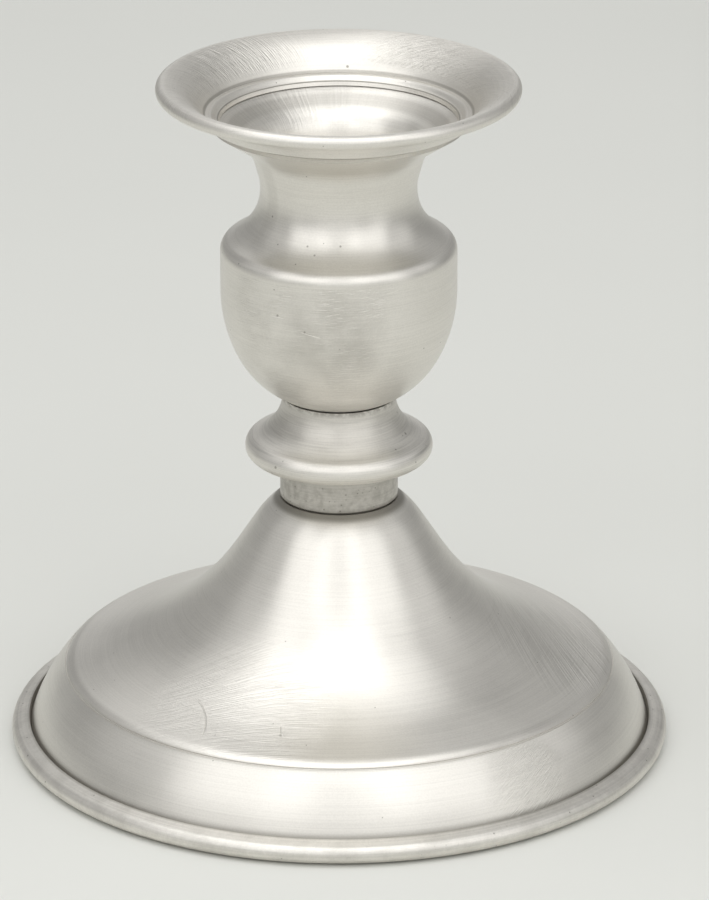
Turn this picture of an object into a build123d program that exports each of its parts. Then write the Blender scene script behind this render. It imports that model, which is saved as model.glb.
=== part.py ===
from build123d import *
from math import acos, asin, cos, degrees, radians, sin, sqrt, tan
import os

# A low weighted candlestick of spun and turned pewter, in millimetres, standing on Z = 0 about the Z axis.
# Every profile is drawn in the XZ plane as (radius, height) and turned about Z.

os.makedirs("parts", exist_ok=True)

# Sheet of the spun and drawn pieces
base_sheet = 0.9
urn_sheet = 0.8
cup_sheet = 0.6
pan_sheet = 0.5

# Foot: felt pad, closing plate and the fold of its edge over the dome's flange
foot_radius = 53.0
felt_thickness = 1.3
felt_proud = 0.3
felt_margin = 1.0
ring_width = 8.0
crimp_play = 0.15
lip_width = 1.7
lip_lift = 14.0

# Dome: heights are above the foot's underside, drops are below the seat of the collar
dome_height = 40.85
brow_run = 3.9
brow_drop = 4.05
flank_run = 3.8
flank_drop = 9.85
crease_height = 13.2
crease_round = 3.8
crease_line = 0.18
crease_line_run = 1.15
skirt_run = 6.25
skirt_gap = 0.4
skirt_height = 3.4
skirt_slope = 45.0
flange_round = 0.5

# Turned collar with its knop
stem_radius = 9.4
stem_chamfer = 0.35
seat_margin = 0.1
spigot_radius = 5.0
spigot_height = 0.6
spigot_play = 0.1
knop_radius = 14.95
knop_bead = 2.0
knop_height = 8.6
knop_blend = 69.0
knop_corner = 0.6
collar_seat_height = 16.2
collar_top_radius = 9.0
collar_edge = 0.25
collar_gap = 0.15

# Urn: bowl below, neck above, joined under the shoulder
bowl_radius = 18.7
bowl_seat_radius = 6.0
bowl_bottom_round = 15.8
bowl_side_round = 23.3
bowl_side_turn = 27.4
bowl_wall = 6.35
shoulder_lap = 0.1
shoulder_round = 2.4
shoulder_slope = 26.5
throat_turn = 16.0
throat_run = 2.2
mouth_round = 5.0
mouth_slope = 33.5
mouth_radius = 20.0
mouth_edge = 0.62

# Candle and the cup that takes it
candle_diameter = 22.0
candle_play = 0.4
throat_play = 0.13
solder_gap = 0.05
cup_drop = 8.0
cup_corner = 2.0

# Drip pan
ledge_slope = 19.0
ledge_gap = 0.08
ledge_lap = 1.4
ledge_reach = 0.9
ledge_round = 0.8
flare_slope = 62.0
rim_radius = 28.6
rim_bead = 1.1
rim_rise = 5.76
rim_curl = 253.0

# Clamp: screw, washers and nut
bolt_radius = 2.5
bolt_play = 0.25
thread_play = 0.05
head_radius = 4.25
head_height = 3.3
head_chamfer = 0.4
slot_width = 1.2
slot_depth = 1.5
bowl_washer_margin = 1.0
bowl_washer_thickness = 1.0
dome_washer_radius = 7.0
dome_washer_thickness = 1.2
lock_washer_radius = 4.4
lock_washer_thickness = 1.2
lock_washer_split = 0.8
nut_across_flats = 8.0
nut_height = 4.0
bolt_overrun = 2.0

# Ballast
ballast_gap = 0.4
ballast_top = 20.0
ballast_bore_radius = 9.0

# Levels and radii that follow from the sizes above
foot_bottom = felt_proud
web_bottom = felt_thickness
web_top = web_bottom + base_sheet
fold_round = (3 * base_sheet + 2 * crimp_play) / 2
fold_radius = foot_radius - fold_round
lip_end_radius = (
    fold_radius
    + (fold_round - base_sheet) * sin(radians(lip_lift))
    - lip_width * cos(radians(lip_lift))
)
web_radius = foot_radius - ring_width
flange_top = foot_bottom + 2 * base_sheet + crimp_play
flange_radius = fold_radius + crimp_play
dome_top = foot_bottom + dome_height
hole_radius = bolt_radius + bolt_play
bowl_seat = dome_top + collar_seat_height
bowl_rounds_apart = bowl_side_round - bowl_bottom_round
bowl_side_radius = bowl_radius - bowl_side_round
bowl_bottom_radius = bowl_side_radius + bowl_rounds_apart * cos(radians(bowl_side_turn))
bowl_bottom_height = bowl_seat + sqrt(bowl_bottom_round**2 - (bowl_seat_radius - bowl_bottom_radius) ** 2)
bowl_middle = bowl_bottom_height + bowl_rounds_apart * sin(radians(bowl_side_turn))
bowl_top = bowl_middle + bowl_wall
cup_bore_radius = candle_diameter / 2 + candle_play
cup_radius = cup_bore_radius + cup_sheet
waist_radius = cup_bore_radius + throat_play + urn_sheet
shoulder_turn = 90 - shoulder_slope
waist_round = (bowl_radius - waist_radius) / (1 - sin(radians(shoulder_slope))) - shoulder_round
waist_rise = (shoulder_round + waist_round) * cos(radians(shoulder_slope))
waist_height = bowl_top + shoulder_lap + waist_rise

# Closing plate: a flat web, a standing ring, and an edge folded over the dome's flange
with BuildPart() as closing_plate:
    with BuildSketch(Plane.XZ):
        with BuildLine():
            web = Line((0, web_bottom), (web_radius, web_bottom))
            step = Line(web @ 1, (web_radius + web_bottom - foot_bottom, foot_bottom))
            ring = Line(step @ 1, (fold_radius, foot_bottom))
            fold = JernArc(ring @ 1, ring % 1, fold_round, 180 - lip_lift)
            lip = PolarLine(fold @ 1, lip_width, direction=fold % 1)
            offset(amount=base_sheet, side=Side.LEFT)
        make_face()
    revolve(axis=Axis.Z)

# Felt pad under the web, a little proud of the ring
with BuildPart() as felt_pad:
    with BuildSketch():
        Circle(web_radius - felt_margin)
    extrude(amount=felt_thickness)

# Dome: seat for the collar, convex brow, straight flank, hollow sweep to the crease, skirt and flange
seat_edge = (stem_radius + seat_margin, dome_top)
brow_point = (seat_edge[0] + brow_run, dome_top - brow_drop)
flank_point = (brow_point[0] + flank_run, dome_top - flank_drop)
skirt_foot = (lip_end_radius - skirt_gap, foot_bottom + skirt_height)
crease = (skirt_foot[0] - skirt_run, foot_bottom + crease_height)
skirt_start = (cos(radians(skirt_slope)), -sin(radians(skirt_slope)))
with BuildPart() as base_dome:
    with BuildSketch(Plane.XZ) as dome_profile:
        with BuildLine():
            seat = Line((spigot_radius + spigot_play, dome_top), seat_edge)
            flank = Line(brow_point, flank_point)
            brow = TangentArc(seat_edge, brow_point, tangent=-(flank % 0), tangent_from_first=False)
            sweep_arc = TangentArc(flank_point, crease, tangent=flank % 1)
            skirt = TangentArc(crease, skirt_foot, tangent=skirt_start)
            drop_height = skirt_foot[1] - flange_top
            drop = PolarLine(skirt @ 1, drop_height, direction=skirt % 1, length_mode=LengthMode.VERTICAL)
            flange = Line(drop @ 1, (flange_radius, flange_top))
            offset(amount=base_sheet, side=Side.RIGHT)
        make_face()
        fillet(dome_profile.vertices().sort_by_distance(crease)[0], crease_round)
        fillet(dome_profile.vertices().sort_by_distance(drop @ 1)[0], flange_round)
    revolve(axis=Axis.Z)
    with BuildSketch(Plane.XZ):
        with Locations(skirt.position_at(crease_line_run, position_mode=PositionMode.LENGTH)):
            Circle(crease_line)
    revolve(axis=Axis.Z, mode=Mode.SUBTRACT)

# Ballast ring, lying on the web and following the dome's sweep from inside
sweep_centre = sweep_arc.arc_center
ballast_arc = sweep_arc.radius + base_sheet + ballast_gap
ballast_shoulder_radius = crease[0] - 2 * (base_sheet + ballast_gap)
ballast_shoulder = sweep_centre.Y - sqrt(ballast_arc**2 - (sweep_centre.X - ballast_shoulder_radius) ** 2)
ballast_top_radius = sweep_centre.X - sqrt(ballast_arc**2 - (sweep_centre.Y - ballast_top) ** 2)
with BuildPart() as ballast:
    with BuildSketch(Plane.XZ):
        with BuildLine():
            side = Line((crease[0], web_top), (ballast_shoulder_radius, ballast_shoulder))
            hollow = RadiusArc(side @ 1, (ballast_top_radius, ballast_top), ballast_arc)
            Polyline(
                hollow @ 1,
                (ballast_bore_radius, ballast_top),
                (ballast_bore_radius, web_top),
                side @ 0,
            )
        make_face()
    revolve(axis=Axis.Z)

# Collar: spigot in the dome's hole, plain stem, knop, hollow sweep and a cupped top that holds the bowl
knop_centre = (knop_radius - knop_bead, dome_top + knop_height)
cup_arc = bowl_bottom_round + collar_gap
collar_edge_radius = collar_top_radius - collar_edge
collar_top = bowl_bottom_height - sqrt(cup_arc**2 - (collar_edge_radius - bowl_bottom_radius) ** 2)
collar_seat_radius = bowl_bottom_radius + sqrt(cup_arc**2 - (bowl_bottom_height - bowl_seat) ** 2)
with BuildPart() as knop_collar:
    with BuildSketch(Plane.XZ) as collar_profile:
        with BuildLine():
            foot = Polyline(
                (hole_radius, dome_top - spigot_height),
                (spigot_radius, dome_top - spigot_height),
                (spigot_radius, dome_top),
                (stem_radius - stem_chamfer, dome_top),
                (stem_radius, dome_top + stem_chamfer),
                (stem_radius, knop_centre[1] - knop_bead),
                (knop_centre[0], knop_centre[1] - knop_bead),
            )
            knop = CenterArc(knop_centre, knop_bead, -90, 90 + knop_blend)
            cove = TangentArc(knop @ 1, (collar_top_radius, collar_top), tangent=knop % 1)
            edge = Line(cove @ 1, (collar_edge_radius, collar_top))
            cup = RadiusArc(edge @ 1, (collar_seat_radius, bowl_seat), cup_arc)
            Polyline(cup @ 1, (hole_radius, bowl_seat), foot @ 0)
        make_face()
        stem_corner = (stem_radius, knop_centre[1] - knop_bead)
        fillet(collar_profile.vertices().sort_by_distance(stem_corner)[0], knop_corner)
    revolve(axis=Axis.Z)

# Urn bowl: flat seat, a round bottom that runs into a wider round side, and the upright wall
bowl_seat_angle = degrees(acos((bowl_seat_radius - bowl_bottom_radius) / bowl_bottom_round))
with BuildPart() as urn_bowl:
    with BuildSketch(Plane.XZ):
        with BuildLine():
            Line((hole_radius, bowl_seat), (bowl_seat_radius, bowl_seat))
            CenterArc(
                (bowl_bottom_radius, bowl_bottom_height),
                bowl_bottom_round,
                -bowl_seat_angle,
                bowl_seat_angle - bowl_side_turn,
            )
            CenterArc((bowl_side_radius, bowl_middle), bowl_side_round, -bowl_side_turn, bowl_side_turn)
            Line((bowl_radius, bowl_middle), (bowl_radius, bowl_top))
            offset(amount=urn_sheet, side=Side.LEFT)
        make_face()
    revolve(axis=Axis.Z)

# Urn neck: shoulder, waist, throat and bell mouth, with the seat for the pan turned on its edge
with BuildPart() as urn_neck:
    with BuildSketch(Plane.XZ):
        with BuildLine():
            lap = Line((bowl_radius, bowl_top), (bowl_radius, bowl_top + shoulder_lap))
            shoulder = JernArc(lap @ 1, lap % 1, shoulder_round, shoulder_turn)
            waist = JernArc(shoulder @ 1, shoulder % 1, waist_round, -(shoulder_turn + throat_turn))
            throat = PolarLine(waist @ 1, throat_run, direction=waist % 1)
            bell = JernArc(throat @ 1, throat % 1, mouth_round, -(90 - throat_turn - mouth_slope))
            mouth_run = mouth_radius - (bell @ 1).X
            mouth = PolarLine(bell @ 1, mouth_run, angle=mouth_slope, length_mode=LengthMode.HORIZONTAL)
            offset(amount=urn_sheet, side=Side.LEFT)
        make_face()
    revolve(axis=Axis.Z)
    mouth_rim = (mouth @ 1).Y
    ledge_run = tan(radians(ledge_slope))
    seat_height = mouth_rim + mouth_edge
    with BuildSketch(Plane.XZ):
        with BuildLine():
            Polyline(
                (0, seat_height - mouth_radius * ledge_run),
                (rim_radius, seat_height + (rim_radius - mouth_radius) * ledge_run),
                (rim_radius, seat_height + rim_radius),
                (0, seat_height + rim_radius),
                close=True,
            )
        make_face()
    revolve(axis=Axis.Z, mode=Mode.SUBTRACT)

# Candle cup: a drawn cup whose edge meets the inside of the neck below the waist
neck_arc_radius = waist_round + urn_sheet
neck_arc_reach = waist_radius + waist_round - cup_radius - solder_gap
cup_top = waist_height - sqrt(neck_arc_radius**2 - neck_arc_reach**2)
cup_bottom = bowl_middle - cup_drop
with BuildPart() as candle_cup:
    with BuildSketch(Plane.XZ):
        with BuildLine():
            FilletPolyline(
                (0, cup_bottom),
                (cup_radius, cup_bottom),
                (cup_radius, cup_top),
                radius=cup_corner,
            )
            offset(amount=cup_sheet, side=Side.LEFT)
        make_face()
    revolve(axis=Axis.Z)

# Drip pan: sloping ledge round a bored hole, flare that rounds over, edge rolled outwards and under.
# The flare is the arc that leaves the ledge's end at its slope and runs smoothly into the rolled edge.
pan_seat = seat_height + (ledge_gap + pan_sheet) / cos(radians(ledge_slope))
pan_hole_radius = mouth_radius - ledge_lap
ledge_start_radius = pan_hole_radius - pan_sheet
ledge_start = (ledge_start_radius, pan_seat + (ledge_start_radius - mouth_radius) * ledge_run)
ledge_end = (mouth_radius + ledge_reach, pan_seat + ledge_reach * ledge_run)
bead_centre = (rim_radius - rim_bead, mouth_rim + rim_rise)
bead_run = bead_centre[0] - ledge_end[0]
bead_climb = bead_centre[1] - ledge_end[1]
bead_offset = bead_run * sin(radians(flare_slope)) - bead_climb * cos(radians(flare_slope))
flare_round = (bead_run**2 + bead_climb**2 - rim_bead**2) / (2 * (bead_offset - rim_bead))
flare_centre_run = flare_round * sin(radians(flare_slope)) - bead_run
flare_end_slope = degrees(asin(flare_centre_run / (flare_round - rim_bead)))
with BuildPart() as drip_pan:
    with BuildSketch(Plane.XZ) as pan_profile:
        with BuildLine():
            Line(ledge_start, ledge_end)
            flare_start = (cos(radians(flare_slope)), sin(radians(flare_slope)))
            flare = JernArc(ledge_end, flare_start, flare_round, flare_end_slope - flare_slope)
            JernArc(flare @ 1, flare % 1, rim_bead, -rim_curl)
            offset(amount=pan_sheet, side=Side.RIGHT)
        make_face()
        fillet(pan_profile.vertices().sort_by_distance(ledge_end)[0], ledge_round)
    revolve(axis=Axis.Z)
    with BuildSketch(Plane.XY.offset(mouth_rim)):
        Circle(pan_hole_radius)
    extrude(amount=rim_rise, mode=Mode.SUBTRACT)

# Clamp screw: slotted cheese head in the bowl, shank down through collar and dome
bowl_washer_seat = bowl_seat + urn_sheet
head_seat = bowl_washer_seat + bowl_washer_thickness
dome_washer_top = dome_top - base_sheet
lock_washer_top = dome_washer_top - dome_washer_thickness
nut_top = lock_washer_top - lock_washer_thickness
bolt_end = nut_top - nut_height - bolt_overrun
with BuildPart() as tie_bolt:
    with BuildSketch(Plane.XY.offset(bolt_end)):
        Circle(bolt_radius)
    extrude(amount=head_seat - bolt_end)
    with BuildSketch(Plane.XY.offset(head_seat)):
        Circle(head_radius)
    extrude(amount=head_height)
    chamfer(tie_bolt.edges().sort_by(Axis.Z)[-1], head_chamfer)
    chamfer(tie_bolt.edges().sort_by(Axis.Z)[0], head_chamfer)
    with BuildSketch(Plane.XY.offset(head_seat + head_height)):
        Rectangle(2 * head_radius, slot_width)
    extrude(amount=-slot_depth, mode=Mode.SUBTRACT)

# Plain washers, one under the head and one under the dome's top
with BuildPart() as bowl_washer:
    with BuildSketch(Plane.XY.offset(bowl_washer_seat)):
        Circle(bowl_seat_radius - bowl_washer_margin)
        Circle(hole_radius, mode=Mode.SUBTRACT)
    extrude(amount=bowl_washer_thickness)

with BuildPart() as dome_washer:
    with BuildSketch(Plane.XY.offset(dome_washer_top)):
        Circle(dome_washer_radius)
        Circle(hole_radius, mode=Mode.SUBTRACT)
    extrude(amount=-dome_washer_thickness)

# Split spring washer
with BuildPart() as lock_washer:
    with BuildSketch(Plane.XY.offset(lock_washer_top)):
        Circle(lock_washer_radius)
        Circle(hole_radius, mode=Mode.SUBTRACT)
        with Locations((lock_washer_radius, 0)):
            Rectangle(2 * lock_washer_radius, lock_washer_split, mode=Mode.SUBTRACT)
    extrude(amount=-lock_washer_thickness)

# Hexagon nut
with BuildPart() as tie_nut:
    with BuildSketch(Plane.XY.offset(nut_top)):
        RegularPolygon(nut_across_flats / 2, 6, major_radius=False)
        Circle(bolt_radius + thread_play, mode=Mode.SUBTRACT)
    extrude(amount=-nut_height)

pieces = {
    "felt_pad": felt_pad,
    "closing_plate": closing_plate,
    "ballast": ballast,
    "base_dome": base_dome,
    "dome_washer": dome_washer,
    "lock_washer": lock_washer,
    "tie_nut": tie_nut,
    "tie_bolt": tie_bolt,
    "knop_collar": knop_collar,
    "bowl_washer": bowl_washer,
    "urn_bowl": urn_bowl,
    "urn_neck": urn_neck,
    "candle_cup": candle_cup,
    "drip_pan": drip_pan,
}
for name, piece in pieces.items():
    piece.part.label = name
    export_step(piece.part, f"parts/{name}.step")

print(f"cup bore {cup_bore_radius:.2f}, cup {cup_bottom:.2f} to {cup_top:.2f}")
print(f"crease at {crease[0]:.2f}, skirt foot at {skirt_foot[0]:.2f}, waist at {waist_height:.2f}")
print(f"seam at {bowl_top:.2f}, collar top at {collar_top:.2f}, flare round {flare_round:.2f}")
print(f"mouth rim {mouth_rim:.2f}, top of the rim {bead_centre[1] + rim_bead:.2f}")
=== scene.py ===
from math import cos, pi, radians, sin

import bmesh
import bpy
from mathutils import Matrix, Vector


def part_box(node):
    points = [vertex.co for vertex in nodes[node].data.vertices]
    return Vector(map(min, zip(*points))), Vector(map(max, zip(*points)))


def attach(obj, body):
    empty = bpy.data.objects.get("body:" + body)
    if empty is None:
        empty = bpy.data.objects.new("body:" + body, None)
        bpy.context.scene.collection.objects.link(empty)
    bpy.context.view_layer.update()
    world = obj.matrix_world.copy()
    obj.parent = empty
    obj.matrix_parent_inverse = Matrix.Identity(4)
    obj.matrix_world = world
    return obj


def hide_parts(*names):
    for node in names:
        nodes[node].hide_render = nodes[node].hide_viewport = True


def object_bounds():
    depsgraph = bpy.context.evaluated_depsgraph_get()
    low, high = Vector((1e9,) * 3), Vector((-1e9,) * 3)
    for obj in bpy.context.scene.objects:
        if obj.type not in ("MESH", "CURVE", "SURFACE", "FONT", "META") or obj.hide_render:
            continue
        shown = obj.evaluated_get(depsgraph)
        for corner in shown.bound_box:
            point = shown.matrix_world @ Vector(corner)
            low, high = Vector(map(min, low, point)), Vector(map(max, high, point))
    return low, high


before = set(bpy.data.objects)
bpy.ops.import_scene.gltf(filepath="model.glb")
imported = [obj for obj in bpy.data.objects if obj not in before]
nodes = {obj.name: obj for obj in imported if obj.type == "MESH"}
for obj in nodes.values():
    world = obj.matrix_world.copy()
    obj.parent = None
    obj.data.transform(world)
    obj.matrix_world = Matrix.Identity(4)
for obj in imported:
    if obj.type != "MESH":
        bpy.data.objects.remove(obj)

# %% [markdown]
# # A low pewter candlestick
# The candlestick is a stack of spun and turned pieces on one upright axis: a weighted foot, a collar with a
# knop, an urn that takes the candle, and a loose drip pan. The CAD model gives every size. In Blender the
# visible pieces are turned again from their CAD sections, with finer steps, and get the brushed, slightly worn
# metal of the real object. The floor, the lamps and the camera come last.

MM = 0.001
cad_low, cad_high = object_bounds()
dome_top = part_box("base_dome")[1].z
collar_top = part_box("knop_collar")[1].z
cad_size = (cad_high - cad_low) / MM
print(f"{len(nodes)} CAD nodes in a box of {cad_size.x:.1f} x {cad_size.y:.1f} x {cad_size.z:.1f} mm")

# %% [markdown]
# ## Turning a piece from its section
# A lathe piece is one outline turned about an axis. Drawing each outline again would copy the CAD by hand and
# could differ from it, so the outline is cut from the CAD piece itself: its mesh is copied, bisected along the
# XZ plane until only the cut line is left, and that line is spun about Z. The spin has far more steps than the
# CAD mesh, so the edges of foot and rim stay round in a close view. Corners of the outline stay crisp because
# smooth shading stops at a set angle.

# %% A helper that turns a CAD section
SPIN_STEPS = 240
CORNER_ANGLE = radians(32)
MERGE = 1e-6


def turned_piece(name, node, body, work_outline=None):
    """A finely turned copy of a CAD node, riding on its body and standing for it. Its outline may be worked."""
    piece = bpy.data.objects.new(name, nodes[node].data.copy())
    bpy.context.scene.collection.objects.link(piece)
    bpy.ops.object.select_all(action="DESELECT")
    piece.select_set(True)
    bpy.context.view_layer.objects.active = piece
    bpy.ops.object.mode_set(mode="EDIT")
    bpy.ops.mesh.select_all(action="SELECT")
    bpy.ops.mesh.remove_doubles(threshold=MERGE)
    for normal, outer in (((0, 1, 0), True), ((1, 0, 0), False)):
        bpy.ops.mesh.select_all(action="SELECT")
        bpy.ops.mesh.bisect(
            plane_co=(0, 0, 0), plane_no=normal, clear_inner=True, clear_outer=outer, threshold=MERGE
        )
    bpy.ops.mesh.select_all(action="SELECT")
    bpy.ops.mesh.remove_doubles(threshold=MERGE)
    if work_outline:
        work_outline(piece)
        bpy.ops.mesh.select_all(action="SELECT")
    bpy.ops.mesh.spin(steps=SPIN_STEPS, angle=2 * pi, center=(0, 0, 0), axis=(0, 0, 1))
    bpy.ops.mesh.select_all(action="SELECT")
    bpy.ops.mesh.remove_doubles(threshold=MERGE)
    bpy.ops.mesh.normals_make_consistent(inside=False)
    bpy.ops.object.mode_set(mode="OBJECT")
    bpy.ops.object.shade_smooth_by_angle(angle=CORNER_ANGLE)
    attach(piece, body)
    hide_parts(node)
    faces = len(piece.data.polygons)
    print(f"{name}: {faces} faces from a section of {faces // SPIN_STEPS} edges")
    return piece


# %% [markdown]
# ## The foot
# The foot is a dome spun from sheet: a round blank is pressed over a turning wooden form until it takes its
# shape. A flat plate closes it from below, and the plate's edge is folded up and over the dome's flange, which
# makes the narrow strip round the foot. Both are plain turned shapes.

# %% Turn the foot
foot_plate = turned_piece("foot_plate", "closing_plate", "stand")
spun_foot = turned_piece("spun_foot", "base_dome", "stand")

# %% [markdown]
# ## The collar and the urn
# The collar is solid and turned on a lathe, knop and hollow in one cut. The urn has two spun halves that meet
# under the shoulder, and a drawn cup inside that takes the candle's foot.

# %% Turn the collar and the urn
knop = turned_piece("knop", "knop_collar", "stand")
urn_shell = turned_piece("urn_shell", "urn_bowl", "stand")
neck_shell = turned_piece("neck_shell", "urn_neck", "stand")
socket = turned_piece("socket", "candle_cup", "stand")

# %% [markdown]
# ## The drip pan
# The pan lies loose in the urn's mouth and lifts off, so it rides on its own body. The CAD gives its lip as a
# plain slope. On the real pan the lip swells into a soft roll before it meets the flare, and the edge of the
# hole is broken with a file. Both are worked into the outline before it is turned: the corner at the hole is
# drawn back, the lip is subdivided, and one of its points is pulled up with a soft falloff to both sides.


# %% Work the lip and turn the pan
LIP_END = 20.4 * MM
LIP_CUTS = 9
ROLL_RADIUS = 20.1 * MM
ROLL_RISE = 0.4 * MM
ROLL_SPREAD = 1.15 * MM
BROKEN_EDGE = 0.25 * MM
HOLE_WALL = 0.05 * MM


def pick(piece, *places):
    """Select the outline's points that lie nearest to some places."""
    bpy.ops.mesh.select_all(action="DESELECT")
    outline = bmesh.from_edit_mesh(piece.data)
    for place in places:
        min(outline.verts, key=lambda point: (point.co - place).length).select_set(True)
    outline.select_flush(True)
    bmesh.update_edit_mesh(piece.data)


def work_lip(piece):
    """Break the edge of the pan's hole and raise a soft roll on its lip."""
    bpy.ops.mesh.select_mode(type="VERT")
    outline = bmesh.from_edit_mesh(piece.data)
    hole = min(point.co.x for point in outline.verts)
    wall = [point for point in outline.verts if point.co.x < hole + HOLE_WALL]
    point = max(wall, key=lambda point: point.co.z)
    corner, lip = point.co.copy(), []
    while point.co.x < LIP_END:
        point = max((edge.other_vert(point) for edge in point.link_edges), key=lambda other: other.co.x)
        lip.append(point.co.copy())
    along = (lip[-1] - corner).normalized()
    upward = Vector((-along.z, 0, along.x))
    pick(piece, corner)
    bpy.ops.transform.translate(value=along * BROKEN_EDGE)
    pick(piece, corner + along * BROKEN_EDGE, *lip)
    bpy.ops.mesh.subdivide(number_cuts=LIP_CUTS)
    pick(piece, corner + along * (ROLL_RADIUS - corner.x) / along.x)
    bpy.ops.transform.translate(
        value=upward * ROLL_RISE,
        use_proportional_edit=True,
        proportional_edit_falloff="SMOOTH",
        proportional_size=ROLL_SPREAD,
        use_proportional_connected=True,
    )


pan = turned_piece("pan", "drip_pan", "pan", work_lip)

# %% [markdown]
# ## The felt
# The felt is a disc glued under the foot: a sheet cut to a circle, held flat against the plate.

# %% Turn the felt
felt = turned_piece("felt", "felt_pad", "stand")

# %% [markdown]
# ## A kit for worn metal
# Real pewter is never one colour. Brushing on the lathe leaves fine lines round the axis, handling leaves
# hairlines in every direction, casting leaves a few pits, and dirt stays in the joints. Each of these is a
# small group of nodes that reads the place on the object, so nothing has to be unwrapped. The class below holds
# one material in the making and shortens the making of nodes: a socket given as an input is linked, a number is
# set.


# %% A material in the making
class Finish:
    """A node material with the place on the object, its height and its distance from the axis at hand."""

    def __init__(self, name, metallic):
        self.material = bpy.data.materials.new(name)
        self.material.use_nodes = True
        self.tree = self.material.node_tree
        self.shader = self.tree.nodes["Principled BSDF"]
        self.shader.inputs["Metallic"].default_value = metallic
        self.place = self.node("TexCoord").outputs["Object"]
        self.flat = self.vector("MULTIPLY", self.place, (1, 1, 0))
        self.around = self.vector("NORMALIZE", self.flat)
        self.radius = self.node("VectorMath", {0: self.flat}, operation="LENGTH").outputs["Value"]
        self.height = self.node("SeparateXYZ", {0: self.place}).outputs["Z"]

    def node(self, kind, inputs=None, **settings):
        """A new node: settings are its own properties, inputs are values or the sockets that feed them."""
        made = self.tree.nodes.new("ShaderNode" + kind)
        for name, value in settings.items():
            setattr(made, name, value)
        for name, value in (inputs or {}).items():
            self.feed(made.inputs[name], value)
        return made

    def feed(self, target, value):
        if isinstance(value, bpy.types.NodeSocket):
            self.tree.links.new(value, target)
        else:
            target.default_value = value

    def math(self, operation, first, second=0.0, third=0.0):
        return self.node("Math", {0: first, 1: second, 2: third}, operation=operation).outputs[0]

    def vector(self, operation, first, second=(0, 0, 0), third=(0, 0, 0)):
        return self.node("VectorMath", {0: first, 1: second, 2: third}, operation=operation).outputs[0]

    def measure(self, operation, first, second):
        """A number from two vectors: their distance or their dot product."""
        return self.node("VectorMath", {0: first, 1: second}, operation=operation).outputs["Value"]

    def fade(self, value, zero, one):
        """A smooth rise from 0 to 1 between two values, or a fall where the second is smaller."""
        made = self.node("MapRange", {"Value": value, "From Min": zero, "From Max": one})
        made.interpolation_type = "SMOOTHSTEP"
        return made.outputs["Result"]

    def both(self, first, second):
        return self.math("MULTIPLY", first, second)

    def scaled(self, along_x, along_y, along_z):
        """The place, counted in steps of three lengths."""
        return self.vector("MULTIPLY", self.place, (1 / along_x, 1 / along_y, 1 / along_z))

    def noise(self, vector, detail, **inputs):
        """Noise over a vector, or over a vector and W."""
        dimensions = "4D" if inputs else "3D"
        inputs = {"Vector": vector, "Scale": 1.0, "Detail": detail, **inputs}
        return self.node("TexNoise", inputs, noise_dimensions=dimensions).outputs[0]

    def swing(self, field):
        """A field of 0 to 1 moved to swing about 0."""
        return self.math("SUBTRACT", field, 0.5)


print("material kit ready")

# %% [markdown]
# ## Lines of the brush and of the hand
# Brush lines run round the axis, so their noise changes fast with height and with the distance from the axis,
# and slowly round the piece. Four inputs are needed for that without a seam: the direction round the axis takes
# two, the height one, the distance from the axis the last. Strokes across the brush lines are the opposite, fast
# round the axis, and a twist that grows with the radius slants them. Hairlines are noise drawn out along one
# straight direction and cut down to its peaks. A single long scratch is the place where the surface lies at a
# set distance from a chosen centre.


# %% Lines
def turned_lines(finish, pitch, drift):
    """Lines round the axis."""
    slow = finish.vector("MULTIPLY", finish.around, (drift, drift, 0))
    grain = finish.vector("MULTIPLY_ADD", finish.place, (0, 0, 1 / pitch), slow)
    return finish.noise(grain, 3.0, W=finish.math("DIVIDE", finish.radius, pitch))


def swept_lines(finish, spacing, length, reference, twist):
    """Strokes across the brush lines, spaced at a reference radius and slanted by a twist."""
    turned = finish.node("VectorRotate", {"Vector": finish.flat}, rotation_type="Z_AXIS")
    finish.feed(turned.inputs["Angle"], finish.math("MULTIPLY", finish.radius, twist))
    fast = reference / spacing
    across = finish.vector("MULTIPLY", finish.vector("NORMALIZE", turned.outputs[0]), (fast, fast, 0))
    return finish.swing(finish.noise(finish.vector("MULTIPLY_ADD", finish.place, (0, 0, 1 / length), across), 1.0))


def hairlines(finish, turn, length, spacing, depth, sparse):
    """Fine straight scratches. A higher level leaves fewer of them."""
    turned = finish.node("VectorRotate", {"Vector": finish.place, "Rotation": turn}, rotation_type="EULER_XYZ")
    drawn = finish.vector("MULTIPLY", turned.outputs[0], (1 / length, 1 / spacing, 1 / depth))
    return finish.math("SUBTRACT", finish.fade(finish.noise(drawn, 1.0), sparse, sparse + 0.14), 0.4)


def arc(finish, centre, radius, width, point, reach):
    """One long scratch near a point, bent about a centre."""
    off = finish.math("ABSOLUTE", finish.math("SUBTRACT", finish.measure("DISTANCE", finish.place, centre), radius))
    return finish.both(finish.fade(off, width, 0.3 * width), patch(finish, point, reach))


print("lines ready")

# %% [markdown]
# ## Where a mark lies
# A mark needs a place as well as a pattern. The masks below are 1 inside an area and fade to 0 outside: a round
# patch, a small spot, a band between two heights or radii, a strip on one side of the piece, or the faces that
# look inward. Clouds and pits have no set place: clouds are large soft noise, and pits are the points of a
# random lattice that happen to lie in the surface.


# %% Areas
def patch(finish, point, reach):
    """A soft round area about a point."""
    return finish.fade(finish.measure("DISTANCE", finish.place, point), reach, 0.45 * reach)


def band(finish, value, low, high, soft):
    """A soft band between two values of a length."""
    return finish.both(finish.fade(value, low - soft, low), finish.fade(value, high + soft, high))


def facing(finish, direction, narrow, wide):
    """A strip up the piece: 1 within a narrow angle of a direction, 0 beyond a wide one."""
    towards = Vector((*direction, 0)).normalized()
    along = finish.measure("DOT_PRODUCT", finish.around, towards)
    return finish.fade(along, cos(radians(wide)), cos(radians(narrow)))


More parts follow.
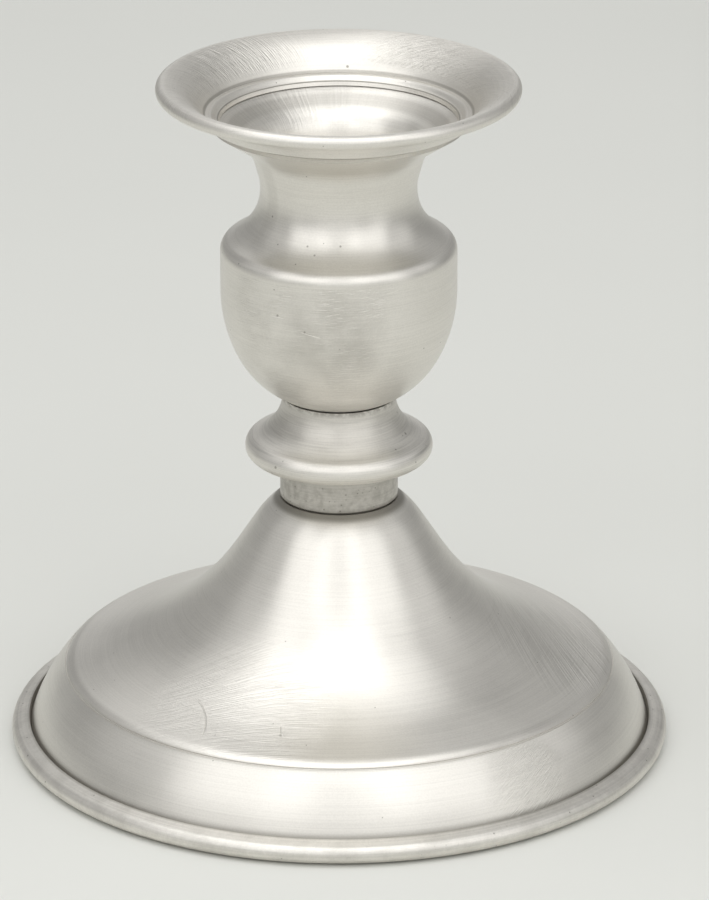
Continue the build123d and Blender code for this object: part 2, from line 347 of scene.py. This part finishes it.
def inward(finish):
    """The faces that look towards the axis."""
    normal = finish.node("NewGeometry").outputs["Normal"]
    return finish.fade(finish.measure("DOT_PRODUCT", normal, finish.around), 0.05, -0.1)


def cloud(finish, size, low, high):
    """Soft random areas of about one size, cut between two levels of the noise."""
    return finish.fade(finish.noise(finish.scaled(size, size, size), 2.0), low, high)


def pits(finish, spacing, size, share):
    """Small pits in a share of the cells of a lattice."""
    lattice = finish.node("TexVoronoi", {"Vector": finish.place, "Scale": 1 / spacing})
    chosen = finish.node("SeparateColor", {0: lattice.outputs["Color"]}).outputs[0]
    near = finish.fade(lattice.outputs["Distance"], size / spacing, 0.4 * size / spacing)
    return finish.both(near, finish.fade(chosen, share, 0.95 * share))


print("areas ready")

# %% [markdown]
# ## Pewter
# Pewter is mostly tin: a warm light grey, softer than steel. Its gloss is uneven, because brush lines scatter
# light across themselves and hardly along. The shader says this with anisotropy: the tangent runs round the
# axis, and a quarter turn puts the wide spread across the lines. The same lines also vary the tone and the
# roughness and raise a very low bump, and a fine satin grain breaks them up. Stains then lower the tone, and
# some of them are painted shade and painted reflections. Scratches cut into the bump, and their tone is raised
# a little: a painted glint.

# %% The pewter recipe
CLEAN = (0.81, 0.787, 0.738, 1)
# The dark end of the mix: used by real stains and by painted shade and painted reflections alike.
STAIN_AND_PAINTED_SHADE = (0.16, 0.145, 0.115, 1)
BRUSHED = 0.5
QUARTER_TURN = 0.25
CLOUD_SIZE = 11 * MM
SATIN_SIZE = 0.28 * MM
BUMP_DEPTH = 0.012 * MM
LINE_DRIFT = 1.6
FULL_TONE = 0.95
# The last of these raises the tone where scratches are: a painted glint.
LINE_TONE, CLOUD_TONE, SATIN_TONE, CUT_GLINT = 0.6, 0.16, 0.2, 0.06
LINE_GLOSS, CLOUD_GLOSS, STAIN_GLOSS = 0.25, 0.12, 0.15
SATIN_BUMP = 0.3


def unmarked(finish):
    """For a piece with no marks of a kind."""
    return []


def pewter(name, roughness, pitch, grain, stains_and_painted_light, cuts=unmarked):
    """Brushed pewter. Stains and cuts are functions that give a piece's marks as (mask, strength) pairs: the stains
    also carry painted shade and painted reflections, and the cuts a painted glint.
    """
    finish = Finish(name, 1.0)
    lines = finish.swing(turned_lines(finish, pitch, LINE_DRIFT))
    clouds = finish.swing(finish.noise(finish.scaled(CLOUD_SIZE, CLOUD_SIZE, CLOUD_SIZE), 3.0))
    satin = finish.swing(finish.noise(finish.scaled(SATIN_SIZE, SATIN_SIZE, SATIN_SIZE), 2.0))
    tone = finish.math("MULTIPLY_ADD", lines, LINE_TONE * grain, FULL_TONE)
    tone = finish.math("MULTIPLY_ADD", clouds, CLOUD_TONE, tone)
    tone = finish.math("MULTIPLY_ADD", satin, SATIN_TONE, tone)
    gloss = finish.math("MULTIPLY_ADD", lines, LINE_GLOSS * grain, roughness)
    gloss = finish.math("MULTIPLY_ADD", clouds, CLOUD_GLOSS, gloss)
    height = finish.math("MULTIPLY_ADD", satin, SATIN_BUMP, finish.math("MULTIPLY", lines, grain))
    # Stains darken the tone; some of them are painted shade and painted reflections.
    for mask, strength in stains_and_painted_light(finish):
        tone = finish.both(tone, finish.math("MULTIPLY_ADD", mask, -strength, 1.0))
        gloss = finish.math("MULTIPLY_ADD", mask, STAIN_GLOSS * strength, gloss)
    for mask, strength in cuts(finish):
        height = finish.math("MULTIPLY_ADD", mask, -strength, height)
        # A scratch's tone is raised a little: a painted glint.
        tone = finish.math("MULTIPLY_ADD", mask, CUT_GLINT * strength, tone)
    mix = finish.node("Mix", {"Factor": tone}, data_type="RGBA")
    mix.inputs[6].default_value = STAIN_AND_PAINTED_SHADE
    mix.inputs[7].default_value = CLEAN
    bump = finish.node("Bump", {"Height": height, "Strength": 1.0, "Distance": BUMP_DEPTH})
    tangent = finish.node("Tangent", direction_type="RADIAL", axis="Z")
    finish.feed(finish.shader.inputs["Base Color"], mix.outputs[2])
    finish.feed(finish.shader.inputs["Roughness"], gloss)
    finish.feed(finish.shader.inputs["Normal"], bump.outputs[0])
    finish.feed(finish.shader.inputs["Tangent"], tangent.outputs[0])
    finish.feed(finish.shader.inputs["Anisotropic"], BRUSHED)
    finish.feed(finish.shader.inputs["Anisotropic Rotation"], QUARTER_TURN)
    print(f"{name}: {len(finish.tree.nodes)} nodes")
    return finish.material


def dress(piece, material):
    """Give a piece one material."""
    piece.data.materials.clear()
    piece.data.materials.append(material)


# %% [markdown]
# ## The marks of the pan
# A piece that has been handled shows where. The marks in this and the next cells are the ones that can be seen
# on the real object, with some painted shade and painted reflections among them. Points and heights are in
# millimetres from the middle of the foot's underside. The pan was rubbed with a pad: slanted strokes on its right
# side, steeper ones on its left. The corner where the flare meets the lip is painted darker, and so is a thin line
# along the broken edge of the hole: both are painted shade. A few pits are left from casting.

# %% Pan
PITS = {"spacing": 2.6 * MM, "size": 0.16 * MM, "share": 0.5}


def at(x, y, z):
    """A point in metres from millimetres."""
    return (x * MM, y * MM, z * MM)


def spots(finish, points, size, strength):
    """Small dark marks at set points."""
    return [(patch(finish, at(*point), size), strength) for point in points]


def pan_stains_and_shade(finish):
    # The corner between flare and lip, painted darker: painted shade.
    corner = finish.both(
        band(finish, finish.radius, 20.95 * MM, 21.1 * MM, 0.2 * MM),
        band(finish, finish.height, 104.5 * MM, 105.7 * MM, 0.5 * MM),
    )
    # A thin dark line along the broken edge of the hole: painted shade.
    shaded_hole_edge = finish.both(
        finish.fade(finish.radius, 19.1 * MM, 18.97 * MM), finish.fade(finish.height, 104.12 * MM, 104.17 * MM)
    )
    return [
        (pits(finish, **PITS), 0.6),
        (corner, 0.45),
        (shaded_hole_edge, 0.6),
        *spots(finish, [(1.35, 21.42, 105.83)], 0.3 * MM, 0.6),
    ]


def pan_cuts(finish):
    flare = finish.fade(finish.radius, 21.2 * MM, 22.2 * MM)
    right = finish.both(flare, facing(finish, (0.8, 0.35), 20, 75))
    left = finish.both(flare, facing(finish, (-0.9, 0.3), 25, 70))
    slanted = swept_lines(finish, 0.14 * MM, 1.3 * MM, 24 * MM, 85)
    upright = swept_lines(finish, 0.2 * MM, 1.6 * MM, 24 * MM, -20)
    return [(finish.both(slanted, right), 9.0), (finish.both(upright, left), 9.0)]


dress(pan, pewter("pewter_pan", 0.42, 0.18 * MM, 0.5, pan_stains_and_shade, pan_cuts))

# %% [markdown]
# ## The marks of the neck and the socket
# The neck is the smoothest piece. Inside, a ring near the bell's mouth is painted darker: painted shade that
# moves the bell's highlight lower. Upright strokes show on the bell's far left side. On the neck's left outside, a
# narrow upright strip is painted a little darker: a painted reflection of something dark beside it. The shoulder
# has four small spots. The socket below takes the candle and is out of reach of the polishing cloth, so it is
# cloudy with soot.


# %% Neck and socket
def neck_stains_and_painted_light(finish):
    # A narrow upright strip on the neck's left, painted a little darker: a painted reflection of something dark
    # beside it.
    painted_reflection_strip = finish.both(
        facing(finish, (-0.83, -0.55), 2, 9), band(finish, finish.height, 89 * MM, 98 * MM, 4 * MM)
    )
    # A ring inside the bell near its mouth, painted darker: painted shade that moves the bell's highlight lower.
    shaded_ring = finish.both(inward(finish), band(finish, finish.height, 101.6 * MM, 102.4 * MM, 0.6 * MM))
    points = [(-10.3, -7.34, 90.46), (-4.82, -13.17, 87.56), (0.3, -13.86, 87.8), (-3.73, -14.42, 86.52)]
    return [(pits(finish, **PITS), 0.6), (painted_reflection_strip, 0.1), (shaded_ring, 0.26), *spots(finish, points, 0.22 * MM, 0.55)]


def neck_cuts(finish):
    hatch = swept_lines(finish, 0.28 * MM, 3 * MM, 14 * MM, 0)
    inside = finish.both(facing(finish, (-0.6, 0.6), 30, 80), finish.fade(finish.height, 97 * MM, 100 * MM))
    return [(finish.both(hatch, inside), 3.5)]


def socket_stains(finish):
    return [(pits(finish, 2.6 * MM, 0.16 * MM, 0.8), 0.7), (cloud(finish, 2 * MM, 0.3, 0.8), 0.32)]


dress(neck_shell, pewter("pewter_neck", 0.37, 0.16 * MM, 0.45, neck_stains_and_painted_light, neck_cuts))
dress(socket, pewter("pewter_socket", 0.42, 0.3 * MM, 0.6, socket_stains))

# %% [markdown]
# ## The marks of the bowl
# The bowl is where a hand holds the candlestick. Its front has a faint smudge, short level rub marks, and two
# small scratches that bend a little, each with a dark spot at its end.


# %% Bowl
def bowl_stains(finish):
    smudge = finish.both(patch(finish, at(-1, -18.6, 74), 10 * MM), cloud(finish, 6 * MM, 0.2, 0.65))
    points = [(-5.28, -17.92, 75.1), (-9.48, -16.12, 77.25)]
    return [(pits(finish, **PITS), 0.6), (smudge, 0.22), *spots(finish, points, 0.25 * MM, 0.45)]


def bowl_cuts(finish):
    rubbed = hairlines(finish, (radians(90), 0, radians(5)), 2 * MM, 0.14 * MM, 3 * MM, 0.56)
    worn = finish.both(facing(finish, (-0.25, -0.95), 20, 60), cloud(finish, 5 * MM, 0.3, 0.65))
    upper = arc(finish, at(-9.5, -16.1, 107), 30 * MM, 0.1 * MM, at(-9.5, -16.1, 77.2), 1.6 * MM)
    lower = arc(finish, at(2, -17.9, 103), 29 * MM, 0.1 * MM, at(-4.4, -18.1, 74.8), 2 * MM)
    return [(finish.both(rubbed, worn), 3.0), (upper, 3.0), (lower, 4.0)]


dress(urn_shell, pewter("pewter_bowl", 0.37, 0.16 * MM, 0.5, bowl_stains, bowl_cuts))

# %% [markdown]
# ## The marks of the collar
# The collar shows the lathe most: its lines are coarse and were never polished out. Below the knop the plain
# stem still has its cast face, darker and mottled. The hollow above the knop is painted a little darker: painted
# shade that weakens its highlight. Dirt lies in the joint under the urn. The foot of the collar, where it stands
# on the dome, is painted darker as well: painted shade in that joint.


# %% Collar
def collar_stains_and_shade(finish):
    # The hollow above the knop, painted a little darker: painted shade that weakens its highlight.
    hollow = finish.fade(finish.height, 52.4 * MM, 54 * MM)
    stem = finish.fade(finish.height, 47.4 * MM, 46.4 * MM)
    cast_face = finish.fade(finish.height, 46.2 * MM, 45.2 * MM)
    # The foot of the collar on the dome, painted darker: painted shade in the joint.
    foot_joint = finish.fade(finish.height, dome_top + 1.05 * MM, dome_top + 0.15 * MM)
    urn_joint = finish.fade(finish.height, collar_top - 1.0 * MM, collar_top - 0.1 * MM)
    return [
        (pits(finish, 2.2 * MM, 0.2 * MM, 0.6), 0.6),
        (hollow, 0.2),
        (stem, 0.33),
        (finish.both(cast_face, cloud(finish, 1.1 * MM, 0.3, 0.8)), 0.32),
        (finish.both(cast_face, pits(finish, 0.9 * MM, 0.2 * MM, 0.5)), 0.5),
        (foot_joint, 0.45),
        (finish.both(urn_joint, cloud(finish, 0.8 * MM, 0.35, 0.6)), 0.4),
        *spots(finish, [(10.56, -4.22, 53.04), (-9.98, -11.11, 49.95)], 0.32 * MM, 0.5),
    ]


def collar_cuts(finish):
    cast_face = finish.fade(finish.height, 46.2 * MM, 45.2 * MM)
    return [(finish.both(cast_face, cloud(finish, 0.6 * MM, 0.3, 0.8)), 0.6)]


dress(knop, pewter("pewter_collar", 0.42, 0.2 * MM, 1.2, collar_stains_and_shade, collar_cuts))

# %% [markdown]
# ## The marks of the foot
# The broad top of the foot takes the most wear. Its front left is covered with level hairlines, its right side
# with longer strokes that run towards the viewer, and the skirt on the right with short slanted ones. A bent
# scratch and a nick lie near the edge. Some darkening on the foot is painted shade: a painted shadow in the ring
# where the collar stands, a soft dark line along the front of the turned line under the edge, and the bottom of
# the skirt and the inner edge of the strip, where the skirt goes down into the fold. The folded strip of the plate
# is coarser and blotchy, because it stands on tables and is never polished.


# %% Foot
def dome_stains_and_shade(finish):
    # The ring where the collar stands, painted dark: a painted shadow under the collar.
    collar_shadow = finish.both(
        finish.fade(finish.height, dome_top - 1.55 * MM, dome_top - 0.55 * MM),
        finish.fade(finish.radius, 11.2 * MM, 10.0 * MM),
    )
    # A soft dark line along the turned line, at the front only: painted shade in the groove.
    turned_line = finish.both(
        band(finish, finish.radius, 43.95 * MM, 44.3 * MM, 0.25 * MM), facing(finish, (-0.15, -1), 25, 60)
    )
    return [
        (pits(finish, 2.8 * MM, 0.16 * MM, 0.45), 0.55),
        (collar_shadow, 0.7),
        (turned_line, 0.22),
        # Darker towards the bottom of the skirt, where it goes into the fold: painted shade.
        (finish.fade(finish.height, 4.6 * MM, 3.4 * MM), 0.4),
        *spots(finish, [(-9.1, -36.6, 15.1)], 0.3 * MM, 0.4),
    ]


def dome_cuts(finish):
    top = finish.fade(finish.height, 12.8 * MM, 13.3 * MM)
    level = hairlines(finish, (0, 0, radians(3)), 7 * MM, 0.14 * MM, 8 * MM, 0.46)
    long = hairlines(finish, (0, 0, radians(68)), 16 * MM, 0.36 * MM, 12 * MM, 0.44)
    short = swept_lines(finish, 0.22 * MM, 1.1 * MM, 48 * MM, 90)
    hook = arc(finish, at(-33.1, -31.8, 15.7), 12.33 * MM, 0.12 * MM, at(-20.8, -30, 15.5), 5.5 * MM)
    nick = arc(finish, at(20, -34, 15), 29 * MM, 0.12 * MM, at(-9, -35.6, 15.2), 1.5 * MM)
    return [
        (finish.both(finish.both(level, top), patch(finish, at(-17, -31, 15), 20 * MM)), 1.5),
        (finish.both(finish.both(long, top), patch(finish, at(36, -2, 15), 20 * MM)), 1.9),
        (finish.both(short, patch(finish, at(30, -37.5, 7), 10 * MM)), 7.0),
        (hook, 5.0),
        (nick, 5.0),
    ]


def strip_stains_and_shade(finish):
    return [
        (pits(finish, 1.8 * MM, 0.2 * MM, 0.7), 0.6),
        (cloud(finish, 4 * MM, 0.35, 0.75), 0.14),
        (cloud(finish, 0.9 * MM, 0.35, 0.8), 0.08),
        # Darker at the strip's inner edge, next to the skirt: painted shade in the gap.
        (finish.fade(finish.radius, 50.8 * MM, 50.1 * MM), 0.5),
    ]


dress(spun_foot, pewter("pewter_foot", 0.37, 0.16 * MM, 0.5, dome_stains_and_shade, dome_cuts))
dress(foot_plate, pewter("pewter_strip", 0.42, 0.3 * MM, 0.8, strip_stains_and_shade))

# %% [markdown]
# ## Felt, cement, steel and paper
# Felt, ballast, screw, nut and washers stay out of sight, but someone may take the model apart. The felt is a
# mat of fibres, so its colour and its bump come from fine noise. The ballast is cast cement with sand in it.
# The small parts are turned steel. The same short recipe, one field between two colours, also serves for the
# paper under the candlestick, where the two colours are nearly equal.


# %% Simple finishes
def simple_finish(name, metallic, roughness, dark, light, fields, relief):
    """A material from one random field: it mixes two colours and raises the bump."""
    finish = Finish(name, metallic)
    field = fields(finish)
    mix = finish.node("Mix", {"Factor": field}, data_type="RGBA")
    mix.inputs[6].default_value = dark
    mix.inputs[7].default_value = light
    bump = finish.node("Bump", {"Height": field, "Strength": 1.0, "Distance": relief})
    finish.feed(finish.shader.inputs["Base Color"], mix.outputs[2])
    finish.feed(finish.shader.inputs["Roughness"], finish.math("MULTIPLY_ADD", field, 0.1, roughness))
    finish.feed(finish.shader.inputs["Normal"], bump.outputs[0])
    print(f"{name}: {len(finish.tree.nodes)} nodes")
    return finish.material


def fibres(finish):
    return finish.noise(finish.scaled(0.28 * MM, 0.28 * MM, 0.65 * MM), 4.0)


def sand(finish):
    return finish.noise(finish.scaled(1.1 * MM, 1.1 * MM, 1.1 * MM), 5.0)


def tooling(finish):
    return turned_lines(finish, 0.15 * MM, 1.2)


dress(felt, simple_finish("felt_green", 0.0, 0.85, (0.03, 0.08, 0.05, 1), (0.08, 0.17, 0.11, 1), fibres, 0.2 * MM))
cement = simple_finish("cement", 0.0, 0.8, (0.30, 0.28, 0.25, 1), (0.62, 0.59, 0.54, 1), sand, 0.3 * MM)
steel = simple_finish("steel", 1.0, 0.28, (0.42, 0.42, 0.43, 1), (0.66, 0.66, 0.67, 1), tooling, 0.01 * MM)
dress(nodes["ballast"], cement)
for name in ("tie_bolt", "tie_nut", "lock_washer", "dome_washer", "bowl_washer"):
    dress(nodes[name], steel)

# %% [markdown]
# ## The floor
# The candlestick stands on a pale paper sweep. A large plane does for it, because the camera looks down and
# never sees an end of it. The paper is matt and nearly even, so most of what it shows is the soft shadow.


# %% Floor
FLOOR_SIZE = 6
PAPER_GLOSS = 0.2


def paper_cloud(finish):
    return finish.noise(finish.scaled(60 * MM, 60 * MM, 60 * MM), 3.0)


bpy.ops.object.select_all(action="DESELECT")
bpy.ops.mesh.primitive_plane_add(size=FLOOR_SIZE, location=(0, 0, 0))
floor = bpy.context.active_object
floor.name = "floor"
paper = simple_finish(
    "floor_paper", 0.0, 0.85, (0.732, 0.737, 0.702, 1), (0.748, 0.753, 0.718, 1), paper_cloud, 0.01 * MM
)
paper.node_tree.nodes["Principled BSDF"].inputs["Specular IOR Level"].default_value = PAPER_GLOSS
dress(floor, paper)

# %% [markdown]
# ## The studio
# Brushed metal has hardly any colour of its own to show: what it shows is the room. So the room matters more
# than the metal. Its walls are an even grey, which the world gives at no cost.

# %% World
WALL_GREY = (0.34, 0.34, 0.336, 1)
world = bpy.data.worlds.new("studio")
bpy.context.scene.world = world
world.use_nodes = True
walls = world.node_tree.nodes["Background"]
walls.inputs["Color"].default_value = WALL_GREY
walls.inputs["Strength"].default_value = 1.0
print(f"walls of grey {WALL_GREY[0]}")

# %% [markdown]
# ## The lamps
# Soft panels stand for what is bright in the room: a broad front as wide as three windows makes the white
# middle of the foot and the bowl, small panels overhead make the highlights on the shoulder and the brow, and
# weak ones at the sides, at the back and near the floor keep the flanks from going black. A panel's brightness
# is given as radiance, which is what a mirror facing it would show, and the lamp's power follows from it and
# from the panel's size.

# %% Lamps
TARGET = Vector((0, 0, 0.05))
LAMP_DISTANCE = 1.2


def softbox(name, azimuth, elevation, size, radiance):
    """A soft panel aimed at the object. Azimuth is counted from the camera's side to the right."""
    turn = radians(azimuth)
    rise = radians(elevation)
    away = Vector((sin(turn) * cos(rise), -cos(turn) * cos(rise), sin(rise)))
    bpy.ops.object.light_add(type="AREA", location=TARGET + LAMP_DISTANCE * away)
    lamp = bpy.context.active_object
    lamp.name = name
    lamp.rotation_euler = away.to_track_quat("Z", "Y").to_euler()
    lamp.data.shape = "RECTANGLE"
    lamp.data.size, lamp.data.size_y = size
    lamp.data.energy = radiance * pi * size[0] * size[1]
    return lamp


panels = [
    softbox("front", 0, 36, (0.9, 0.85), 0.87),
    softbox("front_left", -45, 36, (0.95, 0.85), 1.09),
    softbox("front_right", 45, 36, (0.95, 0.85), 1.09),
    softbox("over_front", 8, 74, (0.62, 0.55), 1.86),
    softbox("over_front_right", 50, 74, (0.5, 0.55), 0.34),
    softbox("over_left", -90, 72, (0.6, 0.6), 1.76),
    softbox("over_right", 100, 70, (0.5, 0.5), 1.22),
    softbox("left_high", -128, 58, (0.6, 0.5), 0.69),
    softbox("left_side", -95, 30, (0.6, 0.7), 0.26),
    softbox("right_side", 95, 30, (0.6, 0.7), 0.5),
    softbox("right_back", 135, 32, (0.6, 0.4), 0.14),
    softbox("back_left", -155, 40, (0.5, 0.45), 0.43),
    softbox("back", 175, 40, (0.4, 0.45), 0.58),
    softbox("low_back", 180, 12, (0.6, 0.4), 0.46),
    softbox("low_front", 0, 9, (1.3, 0.34), 0.29),
    softbox("low_left", -60, 10, (0.6, 0.4), 0.13),
    softbox("low_right", 60, 10, (0.6, 0.4), 0.42),
]
print(f"{len(panels)} panels, {sum(panel.data.energy for panel in panels):.1f} W in all")

# %% [markdown]
# ## The camera
# The photograph was taken from a little above with a long lens: the ellipses of foot and rim are nearly alike in
# shape, which a near camera would not give. The ratio of their axes gives the tilt, and the small difference
# between them gives the distance.

# %% Camera
CAMERA_TILT = 21.24
CAMERA_PLACE = (0.00247, -0.8789, 0.3902)
LENS, SENSOR = 236.5, 36
camera_data = bpy.data.cameras.new("camera")
camera = bpy.data.objects.new("camera", camera_data)
bpy.context.scene.collection.objects.link(camera)
camera_data.lens = LENS
camera_data.sensor_width = SENSOR
camera.location = CAMERA_PLACE
camera.rotation_euler = (radians(90 - CAMERA_TILT), 0, 0)
bpy.context.scene.camera = camera
bpy.context.scene.view_settings.view_transform = "Standard"
print(f"camera {camera.location.length:.2f} m from the foot, looking down {CAMERA_TILT} degrees")
